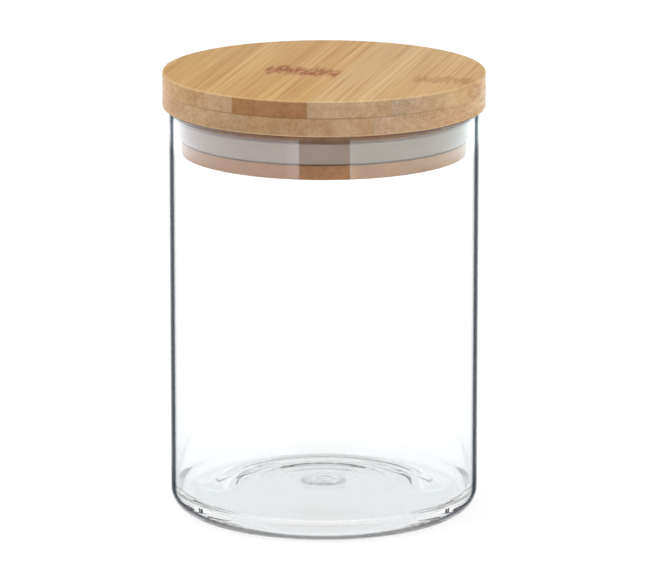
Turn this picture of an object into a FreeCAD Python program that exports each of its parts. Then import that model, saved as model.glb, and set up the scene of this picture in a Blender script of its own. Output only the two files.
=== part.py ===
import FreeCAD, Part
import os
from math import asin, cos, sin, radians

# Lidded glass canister: a straight blown jar, a bamboo lid glued up from strips, and a silicone
# ring between the two.  Millimetres, +Z up, origin at the centre of the foot of the jar.

# ---------------------------------------------------------------- driving dimensions
glass_od = 100.0            # outside diameter of the tube the jar is blown from
glass_wall = 1.8            # wall thickness
rim_swell = 0.45            # how far the melted rim stands out from the wall
rim_z = 132.95              # top of the glass
corner_radius = 6.6         # outside radius where the wall turns into the base
punt_rise = 5.4             # how high the push-up under the base stands above the foot
punt_flat = 30.0            # radius out to which the push-up is level
punt_edge = 41.5            # radius where it comes down to the foot
floor_rise = 8.2            # height of the inside floor above the foot
floor_flat = 31.0           # radius out to which the floor is level
trough_radius = 43.7        # lowest ring of the floor, where the inside corner starts
trough_z = 5.3
nub_radius = 7.4            # small drop of glass left in the middle of the floor
nub_flat = 1.0
nub_rise = 0.7

lid_diameter = 104.2
lid_underside = 133.1       # the disc hangs just over the rim
lid_top = 144.6
ply_seam = 139.05           # glue seam between the two plies of the disc
edge_break = 0.6            # rounded edges of the disc
plug_diameter = 92.0
plug_bottom = 118.1
plug_seam = 125.7           # glue seam between the two plies of the plug, inside the groove
plug_edge = 0.8
groove_diameter = 86.4      # floor of the groove that holds the ring
groove_low = 122.75
groove_high = 129.2

grain_angle = 77.0          # direction the strips run, seen from above, from +X
strip_width = 24.9

ring_inner = 43.4           # silicone ring, radii and heights
ring_low = 123.3
ring_back_top = 129.0
ring_foot = 46.05
ring_lip = 48.1
ring_lip_low = 127.3        # the ring is widest from here up
ring_lip_top = 130.2
ring_slot_low = 126.3       # bottom of the slot behind the lip

os.makedirs("parts", exist_ok=True)
big = 200.0


# ---------------------------------------------------------------- helpers
def at(r, z):
    """A point of a turned profile: radius and height, in the XZ plane."""
    return FreeCAD.Vector(r, 0, z)


def turned(steps, start):
    """Turn a closed profile about Z.  Each step is a line to a point or an arc through a point."""
    edges = []
    here = at(*start)
    for step in steps:
        if len(step) == 2:
            there = at(*step)
            edges.append(Part.LineSegment(here, there).toShape())
        else:
            there = at(step[2], step[3])
            edges.append(Part.Arc(here, at(step[0], step[1]), there).toShape())
        here = there
    face = Part.Face(Part.Wire(edges))
    solid = face.revolve(FreeCAD.Vector(0, 0, 0), FreeCAD.Vector(0, 0, 1), 360)
    return solid if solid.ShapeType == "Solid" else Part.Solid(solid.Shells[0])


def s_curve(r0, z0, r1, z1):
    """Two equal arcs from one point to another, level at both ends."""
    out = 1 if r1 > r0 else -1
    down = 1 if z0 > z1 else -1
    half_r, half_z = abs(r1 - r0) / 2, abs(z1 - z0) / 2
    radius = (half_r ** 2 + half_z ** 2) / (2 * half_z)
    middle = asin(half_r / radius) / 2
    reach, drop = radius * sin(middle), radius * (1 - cos(middle))
    return [
        (r0 + out * reach, z0 - down * drop, (r0 + r1) / 2, (z0 + z1) / 2),
        (r1 - out * reach, z1 + down * drop, r1, z1),
    ]


def corner(cr, cz, radius, degrees):
    """A point of a rounded corner: centre, radius and direction."""
    return (cr + radius * cos(radians(degrees)), cz + radius * sin(radians(degrees)))


def slab(s0, s1, z0, z1):
    """A long board along the grain, from offset s0 to s1 across it and from z0 to z1."""
    board = Part.makeBox(big, s1 - s0, z1 - z0, FreeCAD.Vector(-big / 2, -s1, z0))
    board.rotate(FreeCAD.Vector(0, 0, 0), FreeCAD.Vector(0, 0, 1), grain_angle)
    return board


def write_strips(solid, name, joints, z0, z1):
    """Cut one ply of a turned solid along its glue joints and write each strip."""
    edges = [-big / 2] + list(joints) + [big / 2]
    for i in range(len(edges) - 1):
        strip = solid.common(slab(edges[i], edges[i + 1], z0, z1))
        piece = strip.Solids[0]
        node = "%s_strip_%d" % (name, i + 1)
        piece.exportStep("parts/%s.step" % node)
        print(node, round(piece.Volume, 1), len(strip.Solids), piece.isValid())


# ---------------------------------------------------------------- glass jar
outer = glass_od / 2
inner = outer - glass_wall
foot_out = outer - corner_radius
inside_corner = inner - trough_radius
corner_mid = corner(foot_out, corner_radius, corner_radius, -45)
fillet_mid = corner(trough_radius, trough_z + inside_corner, inside_corner, -45)

rim_r = (glass_wall + rim_swell) / 2
rim_c = inner + rim_r
rim_cz = rim_z - rim_r
nub_mid = (nub_radius / 2 + 0.5, floor_rise + nub_rise * 0.72)

# The base is pushed up in the middle, so the jar stands on a ring and its floor has a trough round it.
jar = turned([
    (punt_flat, punt_rise),
    *s_curve(punt_flat, punt_rise, punt_edge, 0.0),
    (foot_out, 0.0),
    corner_mid + (outer, corner_radius),
    (outer, rim_cz - 3.0),
    (outer + rim_swell, rim_cz - 1.4),
    (outer + rim_swell, rim_cz),
    (rim_c, rim_z, inner, rim_cz),
    (inner, trough_z + inside_corner),
    fillet_mid + (trough_radius, trough_z),
    *s_curve(trough_radius, trough_z, floor_flat, floor_rise),
    (nub_radius, floor_rise),
    nub_mid + (nub_flat, floor_rise + nub_rise),
    (0.0, floor_rise + nub_rise),
    (0.0, punt_rise),
], (0.0, punt_rise))
jar.exportStep("parts/glass_jar.step")
print("glass_jar", round(jar.Volume, 1), jar.isValid())

# ---------------------------------------------------------------- silicone ring
# A foot that sits in the groove and a lip that leans out to the glass, with a slot behind the lip.
lean_mid = ((ring_foot + ring_lip) / 2 + 0.2, (ring_low + ring_lip_low) / 2 - 0.2)
ring = turned([
    (ring_foot, ring_low),
    lean_mid + (ring_lip, ring_lip_low),
    (ring_lip, ring_lip_top - 0.5),
    (ring_lip - 0.15, ring_lip_top - 0.15, ring_lip - 0.5, ring_lip_top),
    (ring_lip - 1.1, ring_lip_top),
    (ring_lip - 1.7, ring_slot_low + 0.5),
    (ring_lip - 2.2, ring_slot_low, ring_lip - 2.7, ring_slot_low + 0.5),
    (ring_lip - 3.0, ring_back_top),
    (ring_inner, ring_back_top),
    (ring_inner, ring_low),
], (ring_inner, ring_low))
ring.exportStep("parts/seal_ring.step")
print("seal_ring", round(ring.Volume, 1), ring.isValid())

# ---------------------------------------------------------------- bamboo lid
lid_r = lid_diameter / 2
e = edge_break
disc = turned([
    (lid_r - e, lid_underside),
    corner(lid_r - e, lid_underside + e, e, -45) + (lid_r, lid_underside + e),
    (lid_r, lid_top - e),
    corner(lid_r - e, lid_top - e, e, 45) + (lid_r - e, lid_top),
    (0.0, lid_top),
    (0.0, lid_underside),
], (0.0, lid_underside))

plug_r = plug_diameter / 2
groove_r = groove_diameter / 2
e = plug_edge
plug = turned([
    (plug_r - e, plug_bottom),
    corner(plug_r - e, plug_bottom + e, e, -45) + (plug_r, plug_bottom + e),
    (plug_r, groove_low),
    (groove_r, groove_low),
    (groove_r, groove_high),
    (plug_r, groove_high),
    (plug_r, lid_underside),
    (0.0, lid_underside),
    (0.0, plug_bottom),
], (0.0, plug_bottom))

# Glue joints between strips, as offsets across the grain.  Each ply has its own set.
top_joints = [-43.4, -18.5, 6.4, 31.3]
lower_joints = [6.4 + k * 19.9 for k in (-2, -1, 0, 1, 2)]
plug_upper_joints = [(k - 1.5) * strip_width for k in range(4)]
plug_lower_joints = [(k - 1.0) * strip_width for k in range(3)]

write_strips(disc, "top_ply", top_joints, ply_seam, lid_top + 1)
write_strips(disc, "under_ply", lower_joints, lid_underside - 1, ply_seam)
write_strips(plug, "plug_upper_ply", plug_upper_joints, plug_seam, lid_underside + 1)
write_strips(plug, "plug_lower_ply", plug_lower_joints, plug_bottom - 1, plug_seam)
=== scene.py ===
# %% [markdown]
# # A glass canister with a bamboo lid
#
# The real thing is three objects: a jar blown from borosilicate tube, a lid glued up from flat bamboo
# strips and turned round, and a soft silicone ring in a groove of the lid. The frame that is loaded here
# holds the engineering model of all three. This lesson gives each its visible surface: it measures the
# frame, works out finer shapes with numpy where the glass and the wood need them, and then spends most
# of its effort on the materials, because glass and bamboo are nearly all finish.

# %% Load the frame
import bpy
import numpy as np
from math import cos, radians, sin
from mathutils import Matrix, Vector


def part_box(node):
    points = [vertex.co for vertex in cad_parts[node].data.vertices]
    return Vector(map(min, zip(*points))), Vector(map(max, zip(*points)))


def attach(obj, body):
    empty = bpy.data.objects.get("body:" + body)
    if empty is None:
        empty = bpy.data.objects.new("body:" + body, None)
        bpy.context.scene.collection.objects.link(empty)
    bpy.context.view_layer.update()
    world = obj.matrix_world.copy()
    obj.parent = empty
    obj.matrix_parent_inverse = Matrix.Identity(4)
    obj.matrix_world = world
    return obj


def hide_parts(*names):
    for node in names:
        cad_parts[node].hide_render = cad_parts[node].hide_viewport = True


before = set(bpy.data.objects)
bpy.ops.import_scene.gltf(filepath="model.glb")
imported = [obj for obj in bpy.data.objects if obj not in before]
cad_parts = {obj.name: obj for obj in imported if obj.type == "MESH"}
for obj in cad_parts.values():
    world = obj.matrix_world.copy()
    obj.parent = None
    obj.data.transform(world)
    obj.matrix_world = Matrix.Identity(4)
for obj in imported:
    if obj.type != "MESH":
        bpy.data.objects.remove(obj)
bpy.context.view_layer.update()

# %% [markdown]
# Every size below starts from the frame's own boxes, so the visible pieces sit exactly where the
# engineering ones do. The few numbers that a box can't give, such as the wall of the glass or the
# direction of the grain, are written out in millimetres and turned to metres by one factor.

# %% Sizes
MM = 0.001
ring_low, ring_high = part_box("seal_ring")
top_low, top_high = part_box("top_ply_strip_3")

TUBE_R = 50.0 * MM                      # outside of the glass wall
WALL = 1.8 * MM
RIM_SWELL = 0.2 * MM                    # the melted rim stands out by this much
SWELL_BELOW = 0.4 * MM                  # the swelling starts this far below the middle of the lip
SWELL_OVER = 0.3 * MM                   # and is full after this much more height
RIM_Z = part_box("glass_jar")[1][2]
CORNER = 6.6 * MM                       # outside radius of the bottom corner
PUNT_FLAT, PUNT_EDGE = 24.2 * MM, 42.8 * MM    # the push-up is level to the first, and ends at the second
PUNT_RISE = 5.4 * MM
FLOOR_FLAT, FLOOR_RISE = 31.0 * MM, 8.2 * MM
TROUGH_R, TROUGH_Z = 43.7 * MM, 5.3 * MM       # lowest ring of the inside floor
DISC_R = 52.1 * MM
UNDER_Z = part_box("under_ply_strip_3")[0][2]
SEAM_Z, TOP_Z = top_low[2], top_high[2]
EDGE_BREAK = 0.6 * MM
GRAIN = radians(77.0)                   # the strips run this way, seen from above
TOP_JOINTS = [-43.4, -18.5, 6.4, 31.3]
UNDER_JOINTS = [6.4 + k * 19.9 for k in (-2, -1, 0, 1, 2)]
print("rim %.2f mm, seam %.2f, top %.2f" % (RIM_Z / MM, SEAM_Z / MM, TOP_Z / MM))

# %% [markdown]
# Colours are written the way a paint card gives them, as sRGB hex. Cycles works in linear light, so one
# function turns the hex into linear red, green and blue. Materials are node trees, and one small
# function adds a node, sets its values and wires its inputs, which keeps each recipe readable.


# %% Colour and node helpers
def linear(code):
    """sRGB hex to linear RGB: v/12.92 below 0.04045, else ((v + 0.055) / 1.055) to the power 2.4."""
    v = np.array([int(code[i:i + 2], 16) for i in (1, 3, 5)]) / 255.0
    out = np.where(v <= 0.04045, v / 12.92, ((v + 0.055) / 1.055) ** 2.4)
    return tuple(float(x) for x in out) + (1.0,)


def add(tree, kind, settings=None, inputs=None, stops=()):
    """Add one node. settings are its own properties, inputs are values or other nodes' outputs, and
    stops are the (position, linear colour) pairs of a colour ramp."""
    node = tree.nodes.new(kind)
    for key, value in (settings or {}).items():
        setattr(node, key, value)
    for i, (place, colour) in enumerate(stops):
        if i >= len(node.color_ramp.elements):
            node.color_ramp.elements.new(1.0)
        node.color_ramp.elements[i].position = place
        node.color_ramp.elements[i].color = colour
    for key, value in (inputs or {}).items():
        if isinstance(value, bpy.types.NodeSocket):
            tree.links.new(value, node.inputs[key])
        else:
            node.inputs[key].default_value = value
    return node


def new_material(name):
    """An empty material with its output node."""
    mat = bpy.data.materials.new(name)
    mat.use_nodes = True
    mat.node_tree.nodes.clear()
    return mat, mat.node_tree, add(mat.node_tree, "ShaderNodeOutputMaterial")


# %% [markdown]
# Shapes are grids of points. `ring_quads` takes a grid whose columns close round on themselves, such as a
# turned profile, and makes quads between neighbours; where a piece needs it, its two end rows are closed by a
# fan or a cap.
# Doing it with whole arrays keeps a surface of a hundred thousand faces quick to build.


# %% Mesh helpers
def mesh_piece(name, points, faces, material, body, replaces=(), sharp=None):
    """Put points and faces into a new object that rides on a body."""
    mesh = bpy.data.meshes.new(name)
    mesh.from_pydata(points.tolist(), [], faces)
    mesh.validate()
    mesh.polygons.foreach_set("use_smooth", np.ones(len(mesh.polygons), dtype=bool))
    if sharp is not None:
        mesh.set_sharp_from_angle(angle=radians(sharp))
    mesh.materials.append(material)
    piece = bpy.data.objects.new(name, mesh)
    bpy.context.scene.collection.objects.link(piece)
    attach(piece, body)
    if replaces:
        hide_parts(*replaces)
    return piece


def ring_quads(rows, columns, start=0):
    """Quads of a grid of rows by columns whose columns close round."""
    i, j = np.meshgrid(np.arange(rows - 1), np.arange(columns), indexing="ij")
    k = (j + 1) % columns
    quads = np.stack([i * columns + j, i * columns + k, (i + 1) * columns + k, (i + 1) * columns + j], -1)
    return (quads.reshape(-1, 4) + start).tolist()


def arc(cr, cz, radius, a0, a1, steps):
    """Points on a circle from angle a0 to a1 in degrees: centre plus radius times (cos, sin)."""
    t = np.radians(np.linspace(a0, a1, steps))
    return np.stack([cr + radius * np.cos(t), cz + radius * np.sin(t)], -1)


# %% [markdown]
# ## The glass jar
#
# A jar like this is blown from drawn tube: the wall is straight and even, the bottom corner is rounded by
# surface tension, the base is pushed up so that it stands on a ring, and the cut rim is melted in a flame
# until it swells slightly. The middle of the floor keeps a small drop and faint ripples from closing the
# tube. The whole skin is one profile turned about the axis, in a single closed surface, because a glass
# shader needs a true inside and outside with the wall's thickness between them. The push-up is gentler
# here than in the engineering model, and the rim swells less: glass shows the underside like a mirror, and
# the steeper push-up would show the lid in it. The height of the foot, the inside floor below its ripples
# and the wall stay where they were.


# %% Glass jar profile
def s_curve(r, r0, z0, r1, z1):
    """Height at r of two equal arcs, level at (r0, z0) and at (r1, z1), with r0 < r1. The arc radius is
    (half width squared plus half height squared) over the height."""
    half_r, half_z = (r1 - r0) / 2, (z0 - z1) / 2
    radius = (half_r ** 2 + half_z ** 2) / (2 * half_z)
    t0, t1 = np.clip(r - r0, 0.0, half_r), np.clip(r1 - r, 0.0, half_r)
    first = z0 - radius + np.sqrt(radius ** 2 - t0 ** 2)
    second = z1 + radius - np.sqrt(radius ** 2 - t1 ** 2)
    return np.where(r < r0 + half_r, first, second)


def jar_profile():
    """Radius and height along the skin, from the middle of the underside out, up, over and down."""
    foot_r = TUBE_R - CORNER
    middle = 0.3 * MM
    level, slope = np.linspace(middle, PUNT_FLAT, 24), np.linspace(PUNT_FLAT, PUNT_EDGE, 26)[1:]
    r = np.concatenate([level, slope, [foot_r]])
    base = np.stack([r, s_curve(r, PUNT_FLAT, PUNT_RISE, PUNT_EDGE, 0.0)], -1)
    corner = arc(foot_r, CORNER, CORNER, -90, 0, 26)[1:]
    inside = TUBE_R - WALL
    rim_r = 0.5 * (WALL + RIM_SWELL)
    rim_z = RIM_Z - rim_r
    dense = rim_z - 1.5 * SWELL_BELOW
    z = np.concatenate([np.linspace(CORNER, dense, 30)[1:], np.linspace(dense, rim_z, 20)[1:]])
    t = np.clip((z - (rim_z - SWELL_BELOW)) / SWELL_OVER, 0.0, 1.0)
    wall = np.stack([TUBE_R + RIM_SWELL * t * t * (3 - 2 * t), z], -1)
    lip = arc(inside + rim_r, rim_z, rim_r, 0, 180, 17)[1:]
    bend_r = inside - TROUGH_R
    down = np.stack([np.full(26, inside), np.linspace(rim_z, TROUGH_Z + bend_r, 27)[1:]], -1)
    bend = arc(TROUGH_R, TROUGH_Z + bend_r, bend_r, 360, 270, 22)[1:]
    r = np.concatenate([np.linspace(TROUGH_R, FLOOR_FLAT, 26)[1:], np.linspace(FLOOR_FLAT, middle, 100)[1:]])
    floor = np.stack([r, s_curve(r, FLOOR_FLAT, FLOOR_RISE, TROUGH_R, TROUGH_Z)], -1)
    rows = [base, corner, wall, lip, down, bend, floor]
    share = [np.full(len(part), float(part is corner or part is wall)) for part in rows]
    return np.concatenate(rows), len(floor), np.concatenate(share)


profile, floor_rows, outer_share = jar_profile()
print("profile of", len(profile), "points, lowest", profile[:, 1].min() / MM)


# %% Glass jar surface
def floor_relief(x, y):
    """Height and shade mark of the ripples and the drop on the floor. The ripples are a cosine of the
    distance r from the middle, strongest towards the back. The drop is a flat-topped hump with a spiral
    groove, a cosine of r plus the angle. The mark, 0 to 1, follows the crests and the rim of the drop, and
    sets where grey painted shade goes."""
    r, turn = np.hypot(x + 0.3 * MM, y) / MM, np.arctan2(y, x)
    grow = np.clip((r - 11.0) / 8.0, 0.0, 1.0) * np.clip((36.0 - r) / 3.0, 0.0, 1.0)
    grow = grow * np.clip((y / MM - 2.0) / 8.0, 0.0, 1.0)
    wave, spiral = np.cos(2 * np.pi * (r - 33.4) / 6.3), np.cos(2 * np.pi * r / 3.2 + turn)
    core = np.exp(-(r / 4.5) ** 2) * (1 - np.exp(-(r / 1.2) ** 2))
    height = 0.22 * wave * grow + 0.70 * np.exp(-(r / 6.4) ** 6) + 0.12 * spiral * core
    shade_mark = 0.9 * grow * np.clip(wave, 0.0, 1.0) ** 4
    shade_mark = shade_mark + np.exp(-((r - 6.8) / 0.8) ** 2) + 0.5 * (1 + spiral) * core
    return height * MM, np.clip(shade_mark, 0.0, 1.0)


def turned_jar(columns=288):
    """Each profile point (r, z) goes to (r cos t, r sin t, z) for evenly spaced t; the floor adds relief.
    Also gives each point its share of outer skin and its shade mark, which places the painted shade on the
    floor."""
    t = np.linspace(0, 2 * np.pi, columns, endpoint=False)
    x = profile[:, :1] * np.cos(t)
    y = profile[:, :1] * np.sin(t)
    z = np.repeat(profile[:, 1:], columns, axis=1)
    shade_mark = np.zeros_like(z)
    height, shade_mark[-floor_rows:] = floor_relief(x[-floor_rows:], y[-floor_rows:])
    z[-floor_rows:] += height
    points = np.stack([x, y, z], -1).reshape(-1, 3)
    low = [0.0, 0.0, float(z[0].mean())]
    high = [0.0, 0.0, float(z[-1].mean())]
    points = np.concatenate([points, [low, high]])
    rows, n = len(profile), len(points)
    shares = {"outer_skin": np.append(np.repeat(outer_share, columns), [0.0, 0.0]),
              "floor_shade_mark": np.append(shade_mark.ravel(), [0.0, 0.0])}
    faces = ring_quads(rows, columns)
    k = np.arange(columns)
    faces += np.stack([np.full(columns, n - 2), (k + 1) % columns, k], -1).tolist()
    last = (rows - 1) * columns
    faces += np.stack([np.full(columns, n - 1), last + k, last + (k + 1) % columns], -1).tolist()
    return points, faces, shares


# %% [markdown]
# Borosilicate glass bends light with an index of 1.47. Seen square on it is almost invisible; towards its
# outline the line of sight runs along inside the wall, and a clear tube is drawn by a dark slate line as
# wide as its wall. A bright room would wash that line out, so the skin's shader paints the line in as painted
# shade: it turns from clear glass to a dark slate colour where the surface is seen edge-on, by Layer Weight,
# which works the same from every side.


# %% Glass material
# Painted shade: grey lines in the slate colour on the crests and the drop of the floor.
SHADE_MARK_SHARE = 0.20                       # how much slate the fine marks on the floor take


def borosilicate_glass():
    """Clear glass mixed with a dark slate colour, a painted shade that draws the outline, where its outer
    skin is seen edge-on.
    """
    mat, tree, out = new_material("borosilicate_glass")
    clear = add(tree, "ShaderNodeBsdfPrincipled", inputs={
        "Base Color": linear("#F8FAFB"), "Roughness": 0.0, "IOR": 1.47, "Transmission Weight": 1.0})
    # The slate colour is painted shade: the dark outline that dark surroundings would show in the wall.
    painted_edge_shade = add(tree, "ShaderNodeBsdfPrincipled", inputs={
        "Base Color": linear("#2F3642"), "Roughness": 0.6, "Specular IOR Level": 0.0})

    # The painted dark outline starts further round on the wall than at the tight bottom corner, where it is
    # also fainter.
    place = add(tree, "ShaderNodeTexCoord").outputs["Object"]
    height = add(tree, "ShaderNodeSeparateXYZ", inputs={0: place}).outputs["Z"]
    start = add(tree, "ShaderNodeMapRange", {"interpolation_type": "SMOOTHSTEP"}, {
        "Value": height, "From Min": 0.5 * MM, "From Max": 8.0 * MM, "To Min": 0.22, "To Max": 0.70})
    depth = add(tree, "ShaderNodeMapRange", {"interpolation_type": "SMOOTHSTEP"}, {
        "Value": height, "From Min": 0.0, "From Max": 7.0 * MM, "To Min": 0.50, "To Max": 1.0})
    edge = add(tree, "ShaderNodeLayerWeight", inputs={"Blend": 0.5})
    turn = add(tree, "ShaderNodeMapRange", inputs={
        "Value": edge.outputs["Facing"], "From Min": start.outputs[0], "From Max": 1.0})
    line = add(tree, "ShaderNodeValToRGB", inputs={"Fac": turn.outputs[0]}, stops=[
        (0.04, (0.0, 0.0, 0.0, 1.0)), (0.16, (0.26, 0.26, 0.26, 1.0)), (0.28, (0.93, 0.93, 0.93, 1.0)),
        (0.50, (0.93, 0.93, 0.93, 1.0)), (0.68, (0.6, 0.6, 0.6, 1.0)), (0.9, (0.3, 0.3, 0.3, 1.0))])
    skin = add(tree, "ShaderNodeAttribute", {"attribute_name": "outer_skin"})
    share = add(tree, "ShaderNodeMath", {"operation": "MULTIPLY"}, {
        0: line.outputs[0], 1: skin.outputs["Fac"]})
    share = add(tree, "ShaderNodeMath", {"operation": "MULTIPLY"}, {0: share.outputs[0], 1: depth.outputs[0]})
    inside = add(tree, "ShaderNodeNewGeometry").outputs["Backfacing"]
    outside = add(tree, "ShaderNodeMath", {"operation": "SUBTRACT"}, {0: 1.0, 1: inside})
    share = add(tree, "ShaderNodeMath", {"operation": "MULTIPLY"}, {
        0: share.outputs[0], 1: outside.outputs[0]})

    # The crests and the drop on the floor are too fine to bend much light, so faint grey lines of painted
    # shade stand in for the dark edges that bent light would show.
    shade_mark = add(tree, "ShaderNodeAttribute", {"attribute_name": "floor_shade_mark"})
    share = add(tree, "ShaderNodeMath", {"operation": "MULTIPLY_ADD"}, {
        0: shade_mark.outputs["Fac"], 1: SHADE_MARK_SHARE, 2: share.outputs[0]})
    mix = add(tree, "ShaderNodeMixShader", inputs={
        0: share.outputs[0], 1: clear.outputs[0], 2: painted_edge_shade.outputs[0]})
    tree.links.new(mix.outputs[0], out.inputs["Surface"])
    return mat


glass = borosilicate_glass()
points, faces, shares = turned_jar()
jar = mesh_piece("blown_glass_jar", points, faces, glass, "jar", ["glass_jar"])
for name, values in shares.items():
    jar.data.attributes.new(name, "FLOAT", "POINT").data.foreach_set("value", values)
print("jar", len(points), "points", len(faces), "faces")

# %% [markdown]
# ## The silicone ring
#
# Food-grade silicone is milky: light goes a few millimetres in and comes out again, so it looks soft and
# slightly grey where bamboo stands behind it. The ring is moulded, with a foot that fills the groove and
# a lip that leans out to the glass. It is one closed profile turned about the axis.


# %% Silicone ring
def silicone():
    """Milky satin rubber: a pale warm grey with light scattering under the skin, IOR 1.41."""
    mat, tree, out = new_material("translucent_silicone")
    place = add(tree, "ShaderNodeTexCoord").outputs["Object"]
    cloud = add(tree, "ShaderNodeTexNoise", inputs={"Vector": place, "Scale": 90.0, "Detail": 3.0})
    tone = add(tree, "ShaderNodeValToRGB", inputs={"Fac": cloud.outputs["Fac"]}, stops=[
        (0.3, linear("#AC9586")), (0.7, linear("#B49F91"))])
    grit = add(tree, "ShaderNodeTexNoise", inputs={"Vector": place, "Scale": 1500.0, "Detail": 2.0})
    bump = add(tree, "ShaderNodeBump", inputs={"Height": grit.outputs["Fac"], "Strength": 0.08,
                                               "Distance": 0.0002})
    skin = add(tree, "ShaderNodeBsdfPrincipled", inputs={
        "Base Color": tone.outputs[0], "Roughness": 0.42, "IOR": 1.41, "Subsurface Weight": 0.5,
        "Subsurface Radius": (0.004, 0.0036, 0.0032), "Subsurface Scale": 0.5, "Normal": bump.outputs[0]})
    tree.links.new(skin.outputs[0], out.inputs["Surface"])
    return mat


def turned_ring(columns=240):
    """The lipped section (r, z) in millimetres, turned about Z. Its outside leans from (foot, low) to
    (lip, wide) and bulges by the sine of the way along."""
    foot, lip, low, wide, top = 46.05, 48.1, ring_low[2] / MM, 127.3, ring_high[2] / MM
    way = np.linspace(0.0, 1.0, 9)
    bulge = 0.25 * np.sin(np.pi * way)
    lean = np.stack([foot + (lip - foot) * way + bulge, low + (wide - low) * way - bulge], -1)
    section = np.concatenate([
        [[43.4, low], [44.8, low]], lean, [[lip, 128.6]], arc(lip - 0.5, top - 0.5, 0.5, 0, 90, 7),
        [[47.0, top]], arc(45.9, 126.8, 0.5, 0, -180, 9), [[45.1, 129.0], [43.4, 129.0], [43.4, 125.8]]]) * MM
    t = np.linspace(0, 2 * np.pi, columns, endpoint=False)
    points = np.stack([section[:, :1] * np.cos(t), section[:, :1] * np.sin(t),
                       np.repeat(section[:, 1:], columns, axis=1)], -1).reshape(-1, 3)
    quads = np.array(ring_quads(len(section) + 1, columns)) % len(points)
    return points, quads.tolist()


points, faces = turned_ring()
mesh_piece("silicone_seal_ring", points, faces, silicone(), "seal", ["seal_ring"], 38)
print("ring", len(faces), "faces")

# %% [markdown]
# ## Bamboo
#
# Bamboo is a grass: a pale ground tissue with dark fibre bundles under a millimetre apart, all running
# the length of the stalk, and a knuckle every 20 cm or so where they tangle. The stalk is sliced into
# flat strips that are steamed to a honey colour, planed and glued. One pattern in three dimensions gives
# both looks of the wood: cells that are long along the grain draw lines on the faces and dots on the cut
# ends. The mapping turns the pattern so that its X runs along the grain.


# %% Fibres
FIBRE_GAP = 0.6 * MM                    # from one fibre bundle to the next, across the grain


def fibre_share(tree, along, seed):
    """How much fibre there is, 0 to 1: bundles as long cells, plus fine lines and broad bands."""
    stretch = add(tree, "ShaderNodeMapping", inputs={
        "Vector": along, "Location": (seed * 0.37, seed * 0.11, seed * 0.23), "Scale": (0.010, 1.0, 1.0)})
    warp = add(tree, "ShaderNodeTexNoise", inputs={
        "Vector": stretch.outputs[0], "Scale": 160.0, "Detail": 2.0})
    shift = add(tree, "ShaderNodeVectorMath", {"operation": "MULTIPLY_ADD"}, {
        0: warp.outputs["Color"], 1: (0.0, 0.0008, 0.0008), 2: stretch.outputs[0]})
    cells = add(tree, "ShaderNodeTexVoronoi", inputs={
        "Vector": shift.outputs[0], "Scale": 1.0 / FIBRE_GAP, "Randomness": 1.0})
    bundle = add(tree, "ShaderNodeMapRange", {"interpolation_type": "SMOOTHSTEP"}, {
        "Value": cells.outputs["Distance"], "From Min": 0.16, "From Max": 0.55, "To Min": 1.0, "To Max": 0.0})
    shade = add(tree, "ShaderNodeSeparateColor", inputs={0: cells.outputs["Color"]})
    bundle = add(tree, "ShaderNodeMath", {"operation": "MULTIPLY"}, {
        0: bundle.outputs[0], 1: shade.outputs["Red"]})
    fine = add(tree, "ShaderNodeTexNoise", inputs={
        "Vector": stretch.outputs[0], "Scale": 700.0, "Detail": 4.0, "Roughness": 0.6})
    broad = add(tree, "ShaderNodeTexNoise", inputs={
        "Vector": stretch.outputs[0], "Scale": 150.0, "Detail": 2.0})
    soft = add(tree, "ShaderNodeMath", {"operation": "MULTIPLY_ADD"}, {
        0: fine.outputs["Fac"], 1: 0.9, 2: -0.35})
    soft = add(tree, "ShaderNodeMath", {"operation": "MULTIPLY_ADD", "use_clamp": True}, {
        0: broad.outputs["Fac"], 1: 0.7, 2: soft.outputs[0]})
    fibre = add(tree, "ShaderNodeMath", {"operation": "MULTIPLY_ADD", "use_clamp": True}, {
        0: bundle.outputs[0], 1: 0.35, 2: soft.outputs[0]})
    return fibre.outputs[0]


print("fibre bundles every %.1f mm" % (FIBRE_GAP / MM))

# %% [markdown]
# At a knuckle the fibres tangle, and steaming turns them darkest there. It is a band across the strip
# whose two edges are ragged, because every fibre starts and ends its tangle at another place. Noise that
# is long along the grain moves the band's middle from fibre to fibre, and shorter noise breaks it up.


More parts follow.
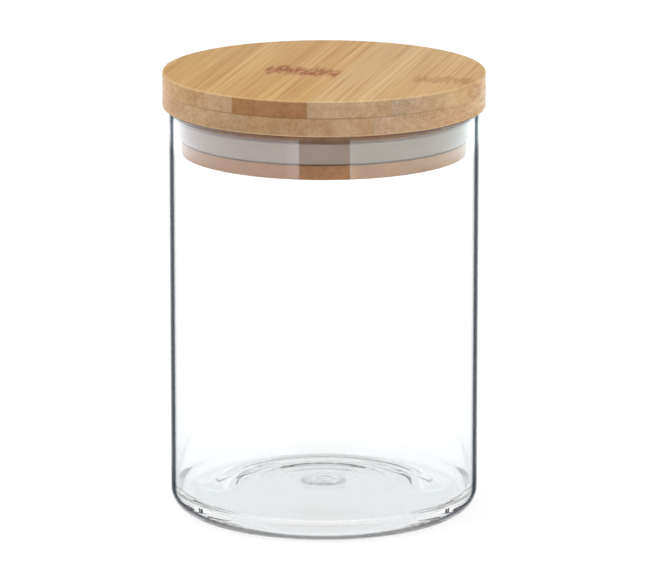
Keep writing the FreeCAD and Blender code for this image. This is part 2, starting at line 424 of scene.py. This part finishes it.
# %% Knuckles
def knuckle_share(tree, along, split, middle, half, lean):
    """A ragged band across the strip: each fibre enters and leaves it at its own place."""
    thread = add(tree, "ShaderNodeMapping", inputs={"Vector": along, "Scale": (0.12, 1.0, 1.0)})
    ragged = add(tree, "ShaderNodeTexNoise", inputs={
        "Vector": thread.outputs[0], "Scale": 520.0, "Detail": 3.0, "Roughness": 0.6})
    slope = add(tree, "ShaderNodeMath", {"operation": "MULTIPLY_ADD"}, {
        0: split.outputs["Y"], 1: lean, 2: split.outputs["X"]})
    moved = add(tree, "ShaderNodeMath", {"operation": "MULTIPLY_ADD"}, {
        0: ragged.outputs["Fac"], 1: 0.020, 2: slope.outputs[0]})
    away = add(tree, "ShaderNodeMath", {"operation": "SUBTRACT"}, {0: moved.outputs[0], 1: middle + 0.010})
    away = add(tree, "ShaderNodeMath", {"operation": "ABSOLUTE"}, {0: away.outputs[0]})
    band = add(tree, "ShaderNodeMapRange", {"interpolation_type": "SMOOTHSTEP"}, {
        "Value": away.outputs[0], "From Min": 0.35 * half, "From Max": half, "To Min": 1.0, "To Max": 0.0})
    short = add(tree, "ShaderNodeMapping", inputs={"Vector": along, "Scale": (0.30, 1.0, 1.0)})
    fleck = add(tree, "ShaderNodeTexNoise", inputs={
        "Vector": short.outputs[0], "Scale": 650.0, "Detail": 2.0, "Roughness": 0.7})
    fleck = add(tree, "ShaderNodeMapRange", {"interpolation_type": "SMOOTHSTEP"}, {
        "Value": fleck.outputs["Fac"], "From Min": 0.36, "From Max": 0.60, "To Min": 0.30, "To Max": 1.0})
    share = add(tree, "ShaderNodeMath", {"operation": "MULTIPLY"}, {0: band.outputs[0], 1: fleck.outputs[0]})
    return share.outputs[0]


KNUCKLE_MID = (-4.5 * MM, 8.0 * MM, -0.10, 1.0)
KNUCKLE_RIGHT = (-6.0 * MM, 7.0 * MM, -0.05, 0.42)
print("knuckles %.0f and %.0f mm long" % (2 * KNUCKLE_MID[1] / MM, 2 * KNUCKLE_RIGHT[1] / MM))

# %% [markdown]
# The finish puts these together. The ground and fibre colours are mixed by the fibres. The cut ends get a
# tint of their own, which also carries a painted bluish sheen, thin glue lines are drawn where a strip meets
# its neighbours, and the broken edges get a paler painted highlight. The fibres also drive a bump of a tenth
# of a millimetre and change the gloss a little.


# %% Bamboo finish
# The cut-end tints carry the end grain's own tone and a painted bluish sheen.
CUT_GAIN = 1.7                          # brings the tint of the cut ends up to their brightness
GLUE_CORE, GLUE_EDGE = 0.05 * MM, 0.35 * MM    # a glue line is darkest inside the first, gone at the second


def bamboo(name, light, dark, seed, cut_tone_and_sheen="#AFA49D", knuckle=None, sides=(-0.1, 0.1)):
    """Caramelised bamboo. light and dark are its ground and fibre colours; the cut-end tint, times CUT_GAIN,
    multiplies them on the cut ends and carries both their tone and a painted bluish sheen; knuckle is
    (middle, half length, lean, strength), and sides are its glue joints."""
    mat, tree, out = new_material(name)
    coords = add(tree, "ShaderNodeTexCoord")
    along = add(tree, "ShaderNodeMapping", inputs={
        "Vector": coords.outputs["Object"], "Rotation": (0.0, 0.0, -GRAIN)})
    split = add(tree, "ShaderNodeSeparateXYZ", inputs={0: along.outputs[0]})
    fibre = fibre_share(tree, along.outputs[0], seed)
    colour = add(tree, "ShaderNodeValToRGB", inputs={"Fac": fibre}, stops=[
        (0.1, linear(light)), (1.0, linear(dark))]).outputs[0]

    # The cut ends are another colour than the faces, so each strip has a tint for them. The tint also carries
    # a painted bluish sheen, least on the middle strips.
    normal = add(tree, "ShaderNodeVectorMath", {"operation": "DOT_PRODUCT"}, {
        0: coords.outputs["Normal"], 1: (cos(GRAIN), sin(GRAIN), 0.0)})
    cut = add(tree, "ShaderNodeMath", {"operation": "ABSOLUTE"}, {0: normal.outputs["Value"]})
    cut = add(tree, "ShaderNodeMath", {"operation": "POWER"}, {0: cut.outputs[0], 1: 1.5})
    end_tone_and_sheen = tuple(CUT_GAIN * v for v in linear(cut_tone_and_sheen)[:3]) + (1.0,)
    colour = add(tree, "ShaderNodeMix", {"data_type": "RGBA", "blend_type": "MULTIPLY"}, {
        "Factor": cut.outputs[0], 6: colour, 7: end_tone_and_sheen}).outputs[2]

    # Glue lines: thin dark lines on the rim, where the strip meets its neighbours and the other ply.
    low_side = add(tree, "ShaderNodeMath", {"operation": "ADD"}, {0: split.outputs["Y"], 1: sides[1]})
    high_side = add(tree, "ShaderNodeMath", {"operation": "SUBTRACT"}, {0: -sides[0], 1: split.outputs["Y"]})
    side = add(tree, "ShaderNodeMath", {"operation": "MINIMUM"}, {
        0: low_side.outputs[0], 1: high_side.outputs[0]})
    seam = add(tree, "ShaderNodeMath", {"operation": "SUBTRACT"}, {0: split.outputs["Z"], 1: SEAM_Z})
    seam = add(tree, "ShaderNodeMath", {"operation": "ABSOLUTE"}, {0: seam.outputs[0]})
    side = add(tree, "ShaderNodeMapRange", {"interpolation_type": "SMOOTHSTEP"}, {
        "Value": side.outputs[0], "From Min": GLUE_CORE, "From Max": GLUE_EDGE,
        "To Min": 0.18, "To Max": 0.0})
    seam = add(tree, "ShaderNodeMapRange", {"interpolation_type": "SMOOTHSTEP"}, {
        "Value": seam.outputs[0], "From Min": GLUE_CORE, "From Max": GLUE_EDGE,
        "To Min": 0.50, "To Max": 0.0})
    glue = add(tree, "ShaderNodeMath", {"operation": "MAXIMUM"}, {0: side.outputs[0], 1: seam.outputs[0]})
    glue = add(tree, "ShaderNodeMath", {"operation": "MULTIPLY"}, {0: glue.outputs[0], 1: cut.outputs[0]})
    colour = add(tree, "ShaderNodeMix", {"data_type": "RGBA"}, {
        "Factor": glue.outputs[0], 6: colour, 7: linear("#6E4A2B")}).outputs[2]
    if knuckle is not None:
        middle, half, lean, strength = knuckle
        band = knuckle_share(tree, along.outputs[0], split, middle, half, lean)
        band = add(tree, "ShaderNodeMath", {"operation": "MULTIPLY"}, {0: band, 1: strength}).outputs[0]
        colour = add(tree, "ShaderNodeMix", {"data_type": "RGBA"}, {
            "Factor": band, 6: colour, 7: linear("#8A4603")}).outputs[2]

    # The broken edges get a painted highlight: a paler colour where they catch the light.
    highlight_share = add(tree, "ShaderNodeAttribute", {"attribute_name": "edge_highlight"})
    highlight_share = add(tree, "ShaderNodeMath", {"operation": "MULTIPLY"}, {0: highlight_share.outputs["Fac"], 1: 0.3})
    colour = add(tree, "ShaderNodeMix", {"data_type": "RGBA"}, {
        "Factor": highlight_share.outputs[0], 6: colour, 7: linear("#F3D3A4")}).outputs[2]

    bump = add(tree, "ShaderNodeBump", {"invert": True}, {
        "Height": fibre, "Strength": 0.25, "Distance": 0.00012})
    rough = add(tree, "ShaderNodeMapRange", inputs={"Value": fibre, "To Min": 0.38, "To Max": 0.55})
    skin = add(tree, "ShaderNodeBsdfPrincipled", inputs={
        "Base Color": colour, "Roughness": rough.outputs[0], "IOR": 1.45, "Specular IOR Level": 0.12,
        "Normal": bump.outputs[0]})
    tree.links.new(skin.outputs[0], out.inputs["Surface"])
    return mat


# %% [markdown]
# Each strip of the disc is a surface of two parameters. Across the grain at offset s, a disc of radius r
# reaches the square root of r squared less s squared each way along the grain, so one loop round the
# strip's section is that reach at every height of the turned edge, out on one side and back on the
# other. Carrying the loop from one glue joint to the next gives the strip with its rounded rim.


# %% Strips of the disc
def disc_edge(z0, z1, broken_low, broken_high):
    """Radius, height and painted highlight up the turned edge of a ply. A broken edge is a quarter round, and
    its painted highlight rises and falls as the sine of the way round it."""
    e, glint = EDGE_BREAK, np.sin(np.linspace(0.0, np.pi, 9))[:, None]
    low, high = np.array([[DISC_R, z0, 0.0]]), np.array([[DISC_R, z1, 0.0]])
    if broken_low:
        low = np.hstack([arc(DISC_R - e, z0 + e, e, -90, 0, 9), glint])
    if broken_high:
        high = np.hstack([arc(DISC_R - e, z1 - e, e, 0, 90, 9), glint])
    return np.concatenate([low, high])


def ply_strip(name, node, s0, s1, edge, material):
    """Loops (s, plus or minus sqrt(r^2 - s^2), z) carried from s0 to s1, spaced evenly round the rim."""
    limit = DISC_R - 1e-6
    a0, a1 = (np.arcsin(np.clip(s, -limit, limit) / DISC_R) for s in (s0, s1))
    s = DISC_R * np.sin(np.linspace(a0, a1, max(8, int(np.degrees(a1 - a0) / 0.8))))[:, None]
    reach = np.sqrt(np.maximum(edge[:, 0] ** 2 - s ** 2, 0.0)) + 1e-6
    q = np.concatenate([reach, -reach[:, ::-1]], axis=1)
    z = np.concatenate([edge[:, 1], edge[::-1, 1]])[None, :] + 0 * q
    glint = np.concatenate([edge[:, 2], edge[::-1, 2]])[None, :] + 0 * q
    c, n = np.cos(GRAIN), np.sin(GRAIN)
    x, y = q * c + s * n, q * n - s * c
    rows, columns = q.shape
    points = np.stack([x, y, z], -1).reshape(-1, 3)
    faces = ring_quads(rows, columns)
    faces.append(list(range(columns))[::-1])
    faces.append(list(range((rows - 1) * columns, rows * columns)))
    piece = mesh_piece(name, points, faces, material, "lid", [node], 30)
    piece.data.attributes.new("edge_highlight", "FLOAT", "POINT").data.foreach_set("value", glint.ravel())
    return piece


# Each row: ground and fibre colours, a seed, the cut-end tint with its painted bluish sheen, and a knuckle.
HONEY = [
    ("#D0A768", "#A17033", 1.3, "#A5ADE1", None), ("#CFA667", "#9F6D31", 2.7, "#A8B3EC", None),
    ("#CDA162", "#9B682D", 4.1, "#988FA5", KNUCKLE_MID), ("#D3AF7A", "#A67A44", 5.9, "#AAB2D2", None),
    ("#D1AA73", "#A2733F", 7.3, "#9FB6F8", KNUCKLE_RIGHT)]
marks = [-100.0] + TOP_JOINTS + [100.0]
edge = disc_edge(SEAM_Z, TOP_Z, False, True)
for i, (light, dark, seed, end_tone_and_sheen, knuckle) in enumerate(HONEY):
    sides = (marks[i] * MM, marks[i + 1] * MM)
    stuff = bamboo("caramel_bamboo_top_%d" % (i + 1), light, dark, seed, end_tone_and_sheen, knuckle, sides)
    node = "top_ply_strip_%d" % (i + 1)
    ply_strip("bamboo_top_%d" % (i + 1), node, sides[0], sides[1], edge, stuff)

# The under ply's cut-end tints carry the same painted bluish sheen.
AMBER = [
    ("#CFA577", "#9F6D3E", 11.0, "#ACBDD8"), ("#CBA06F", "#986436", 12.6, "#ACBDD8"),
    ("#C9A172", "#9A6A3C", 14.9, "#AEB3C0"), ("#CFA87C", "#A07244", 16.2, "#AEB3C0"),
    ("#D0A77A", "#9E6F42", 18.8, "#B0C2E3"), ("#D2AC80", "#A27346", 20.1, "#B0C2E3")]
marks = [-100.0] + UNDER_JOINTS + [100.0]
edge = disc_edge(UNDER_Z, SEAM_Z, True, False)
for i, (light, dark, seed, end_tone_and_sheen) in enumerate(AMBER):
    sides = (marks[i] * MM, marks[i + 1] * MM)
    stuff = bamboo("caramel_bamboo_under_%d" % (i + 1), light, dark, seed, end_tone_and_sheen, None, sides)
    node = "under_ply_strip_%d" % (i + 1)
    ply_strip("bamboo_under_%d" % (i + 1), node, sides[0], sides[1], edge, stuff)
print("disc strips", len(HONEY) + len(AMBER))

# %% [markdown]
# The plug is hidden under the disc except for two narrow bands behind the glass. Its engineering shape is
# already right, groove and all, so those nodes stay and only get the bamboo.

# %% Plug
plug_bamboo = bamboo("caramel_bamboo_plug", "#D59D62", "#A46C3A", 31.0)
for name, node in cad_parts.items():
    if name.startswith("plug"):
        for place in node.material_slots:
            place.material = plug_bamboo
print("plug nodes", sum(n.startswith("plug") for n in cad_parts))

# %% [markdown]
# ## Studio
#
# Clear glass shows best on white: the floor glows evenly, the room is bright all round, and broad
# soft lamps stand either side. The floor here is one large sheet that glows by itself.


# %% Floor
def stage_plane(name, corners, material):
    """A flat polygon on the floor that isn't part of the object."""
    mesh = bpy.data.meshes.new(name)
    mesh.from_pydata([tuple(c) for c in corners], [], [tuple(range(len(corners)))])
    mesh.materials.append(material)
    thing = bpy.data.objects.new(name, mesh)
    bpy.context.scene.collection.objects.link(thing)
    return thing


mat, tree, out = new_material("lit_white_sweep")
paper = add(tree, "ShaderNodeBsdfPrincipled", inputs={
    "Base Color": linear("#8A8A8A"), "Roughness": 0.9, "Specular IOR Level": 0.0,
    "Emission Color": (1.0, 1.0, 1.0, 1.0), "Emission Strength": 0.79})
tree.links.new(paper.outputs[0], out.inputs["Surface"])
stage_plane("floor", [(-4, -4, 0), (4, -4, 0), (4, 4, 0), (-4, 4, 0)], mat)
print("floor of 8 by 8 m")

# %% [markdown]
# A dark card in front leaves a clear strip down the middle of the glass where nothing is mirrored, between
# two pale sheets of light that lie over the sides. Real cards would stand in the picture, so these lie on
# the floor and only reflections see them.


# %% Cards
FADE_NEAR, FADE_FAR = 0.575, 0.615      # where a card turns from near to shine, in metres from the jar
CARD_START = 1.02 * TUBE_R              # just clear of the glass
CARD_LENGTH, CARD_HEIGHT = 1.5, 0.4 * MM


def mirrored_card(name, bearing0, bearing1, shine, near):
    """A wedge on the floor in front of the jar that only reflections see. A ray mirrored by the wall at
    bearing b goes off at twice b, so a wedge between two bearings shows as a stripe between them. Its
    colour goes from near to shine with distance, because the far end is what the lid's height mirrors."""
    mat, tree, out = new_material(name)
    place = add(tree, "ShaderNodeTexCoord").outputs["Object"]
    far = add(tree, "ShaderNodeVectorMath", {"operation": "LENGTH"}, {0: place})
    fade = add(tree, "ShaderNodeMapRange", {"interpolation_type": "SMOOTHSTEP"}, {
        "Value": far.outputs["Value"], "From Min": FADE_NEAR, "From Max": FADE_FAR})
    tone = add(tree, "ShaderNodeMix", {"data_type": "RGBA"}, {"Factor": fade.outputs[0], 6: near, 7: shine})
    glow = add(tree, "ShaderNodeEmission", inputs={"Color": tone.outputs[2], "Strength": 1.0})
    tree.links.new(glow.outputs[0], out.inputs["Surface"])
    b = np.radians(np.linspace(bearing0, bearing1, 9))
    foot = np.stack([np.sin(b), -np.cos(b), 0 * b], -1)
    away = CARD_LENGTH * np.stack([np.sin(2 * b), -np.cos(2 * b), 0 * b], -1)
    corners = np.concatenate([CARD_START * foot, (TUBE_R * foot + away)[::-1]]) + (0.0, 0.0, CARD_HEIGHT)
    card = stage_plane(name, corners, mat)
    for ray in ("camera", "diffuse", "transmission", "volume_scatter", "shadow"):
        setattr(card, "visible_" + ray, False)


WHITE, GREY, DIM = (1.0, 1.0, 1.0, 1.0), (0.5, 0.5, 0.5, 1.0), (0.4, 0.4, 0.4, 1.0)
mirrored_card("left_sheet", -85.0, -13.5, (3.0, 3.3, 3.6, 1.0), GREY)
mirrored_card("left_stripe", -13.5, -9.2, (3.8, 4.2, 4.8, 1.0), GREY)
mirrored_card("black_card", -9.2, 9.5, (0.0, 0.0, 0.0, 1.0), DIM)
mirrored_card("right_stripe", 9.5, 11.0, (3.6, 4.7, 4.8, 1.0), GREY)
mirrored_card("right_sheet", 11.0, 85.0, (3.2, 3.9, 4.0, 1.0), GREY)
print("five cards, from %.3f to %.3f m" % (CARD_START, TUBE_R + CARD_LENGTH))

# %% [markdown]
# The room is evenly bright for matt surfaces. Glass and gloss see a white backdrop and ceiling, and darker
# walls only in front. The lamps are hidden from rays that pass through glass, so the light that reaches the
# plug and the ring through the wall comes from a brighter room instead. That brighter room also lights the
# floor behind the glass, which then shows as full white.

# %% Room
ROOM_LIGHT = 0.75                       # what matt surfaces see
THROUGH_GLASS = 0.85                    # what they see on top of it through glass
world = bpy.data.worlds.new("bright_room")
bpy.context.scene.world = world
world.use_nodes = True
tree = world.node_tree
sky = add(tree, "ShaderNodeTexCoord").outputs["Generated"]
sky = add(tree, "ShaderNodeSeparateXYZ", inputs={0: sky})
walls = add(tree, "ShaderNodeMapRange", {"interpolation_type": "SMOOTHSTEP"}, {
    "Value": sky.outputs["Z"], "From Min": 0.15, "From Max": 0.60, "To Min": 0.12, "To Max": 0.95})
drop = add(tree, "ShaderNodeMapRange", {"interpolation_type": "SMOOTHSTEP"}, {
    "Value": sky.outputs["Y"], "From Min": -0.3, "From Max": 0.1, "To Min": 0.0, "To Max": 0.95})
walls = add(tree, "ShaderNodeMath", {"operation": "MAXIMUM"}, {0: walls.outputs[0], 1: drop.outputs[0]})
path = add(tree, "ShaderNodeLightPath")
matt = add(tree, "ShaderNodeMath", {"operation": "GREATER_THAN"}, {0: path.outputs["Diffuse Depth"], 1: 0.5})
through = add(tree, "ShaderNodeMath", {"operation": "GREATER_THAN"}, {
    0: path.outputs["Transmission Depth"], 1: 0.5})
light = add(tree, "ShaderNodeMath", {"operation": "MULTIPLY_ADD"}, {
    0: through.outputs[0], 1: THROUGH_GLASS, 2: ROOM_LIGHT})
level = add(tree, "ShaderNodeMix", {"data_type": "FLOAT"}, {
    0: matt.outputs[0], 2: walls.outputs[0], 3: light.outputs[0]})
room = tree.nodes["Background"]
room.inputs["Color"].default_value = WHITE
tree.links.new(level.outputs[0], room.inputs["Strength"])
print("room light", ROOM_LIGHT, "and through glass", ROOM_LIGHT + THROUGH_GLASS)

# %% [markdown]
# Two square area lamps, left and right of the front, give the wood its soft modelling. They are hidden from
# gloss and glass, where they would show as squares.


# %% Lamps
def soft_lamp(name, place, aim, size, watts):
    """A square area lamp at a place, turned towards a point."""
    lamp = bpy.data.lights.new(name, "AREA")
    lamp.size, lamp.energy = size, watts
    thing = bpy.data.objects.new(name, lamp)
    bpy.context.scene.collection.objects.link(thing)
    thing.visible_glossy = thing.visible_transmission = False
    thing.location = place
    thing.rotation_euler = (Vector(aim) - Vector(place)).to_track_quat("-Z", "Y").to_euler()
    print(name, size, "m wide,", watts, "W")


soft_lamp("lamp_right", (1.3, -0.9, 1.1), (0, 0, 0.1), 0.9, 11)
soft_lamp("lamp_left", (-1.3, -0.7, 1.2), (0, 0, 0.1), 0.9, 14)

# %% [markdown]
# The camera is a long lens about 1.8 m away, looking down a little, so that the lid's top shows as a thin
# ellipse and the walls stay almost parallel.

# %% Camera
camera = bpy.data.cameras.new("camera")
camera.sensor_width = 36.0
camera.lens = 310.15
camera.clip_start, camera.clip_end = 0.05, 50.0
eye = bpy.data.objects.new("camera", camera)
bpy.context.scene.collection.objects.link(eye)
eye.location = (0.0003, -1.771, 0.488)
eye.rotation_euler = (radians(90.0 - 13.23), 0.0, 0.0)
bpy.context.scene.camera = eye
bpy.context.scene.view_settings.view_transform = "Standard"
print("camera", tuple(eye.location), "lens", camera.lens, "mm")

# %% [markdown]
# Light in the thick corner of the glass is mirrored many times before it comes out. With the usual limits
# on bounces those paths end early and leave dark wedges in the base, so the limits are raised.

# %% Bounces
BOUNCES = 32
bpy.context.scene.cycles.max_bounces = BOUNCES
bpy.context.scene.cycles.glossy_bounces = BOUNCES
bpy.context.scene.cycles.transmission_bounces = BOUNCES
print("light paths of up to", BOUNCES, "bounces")
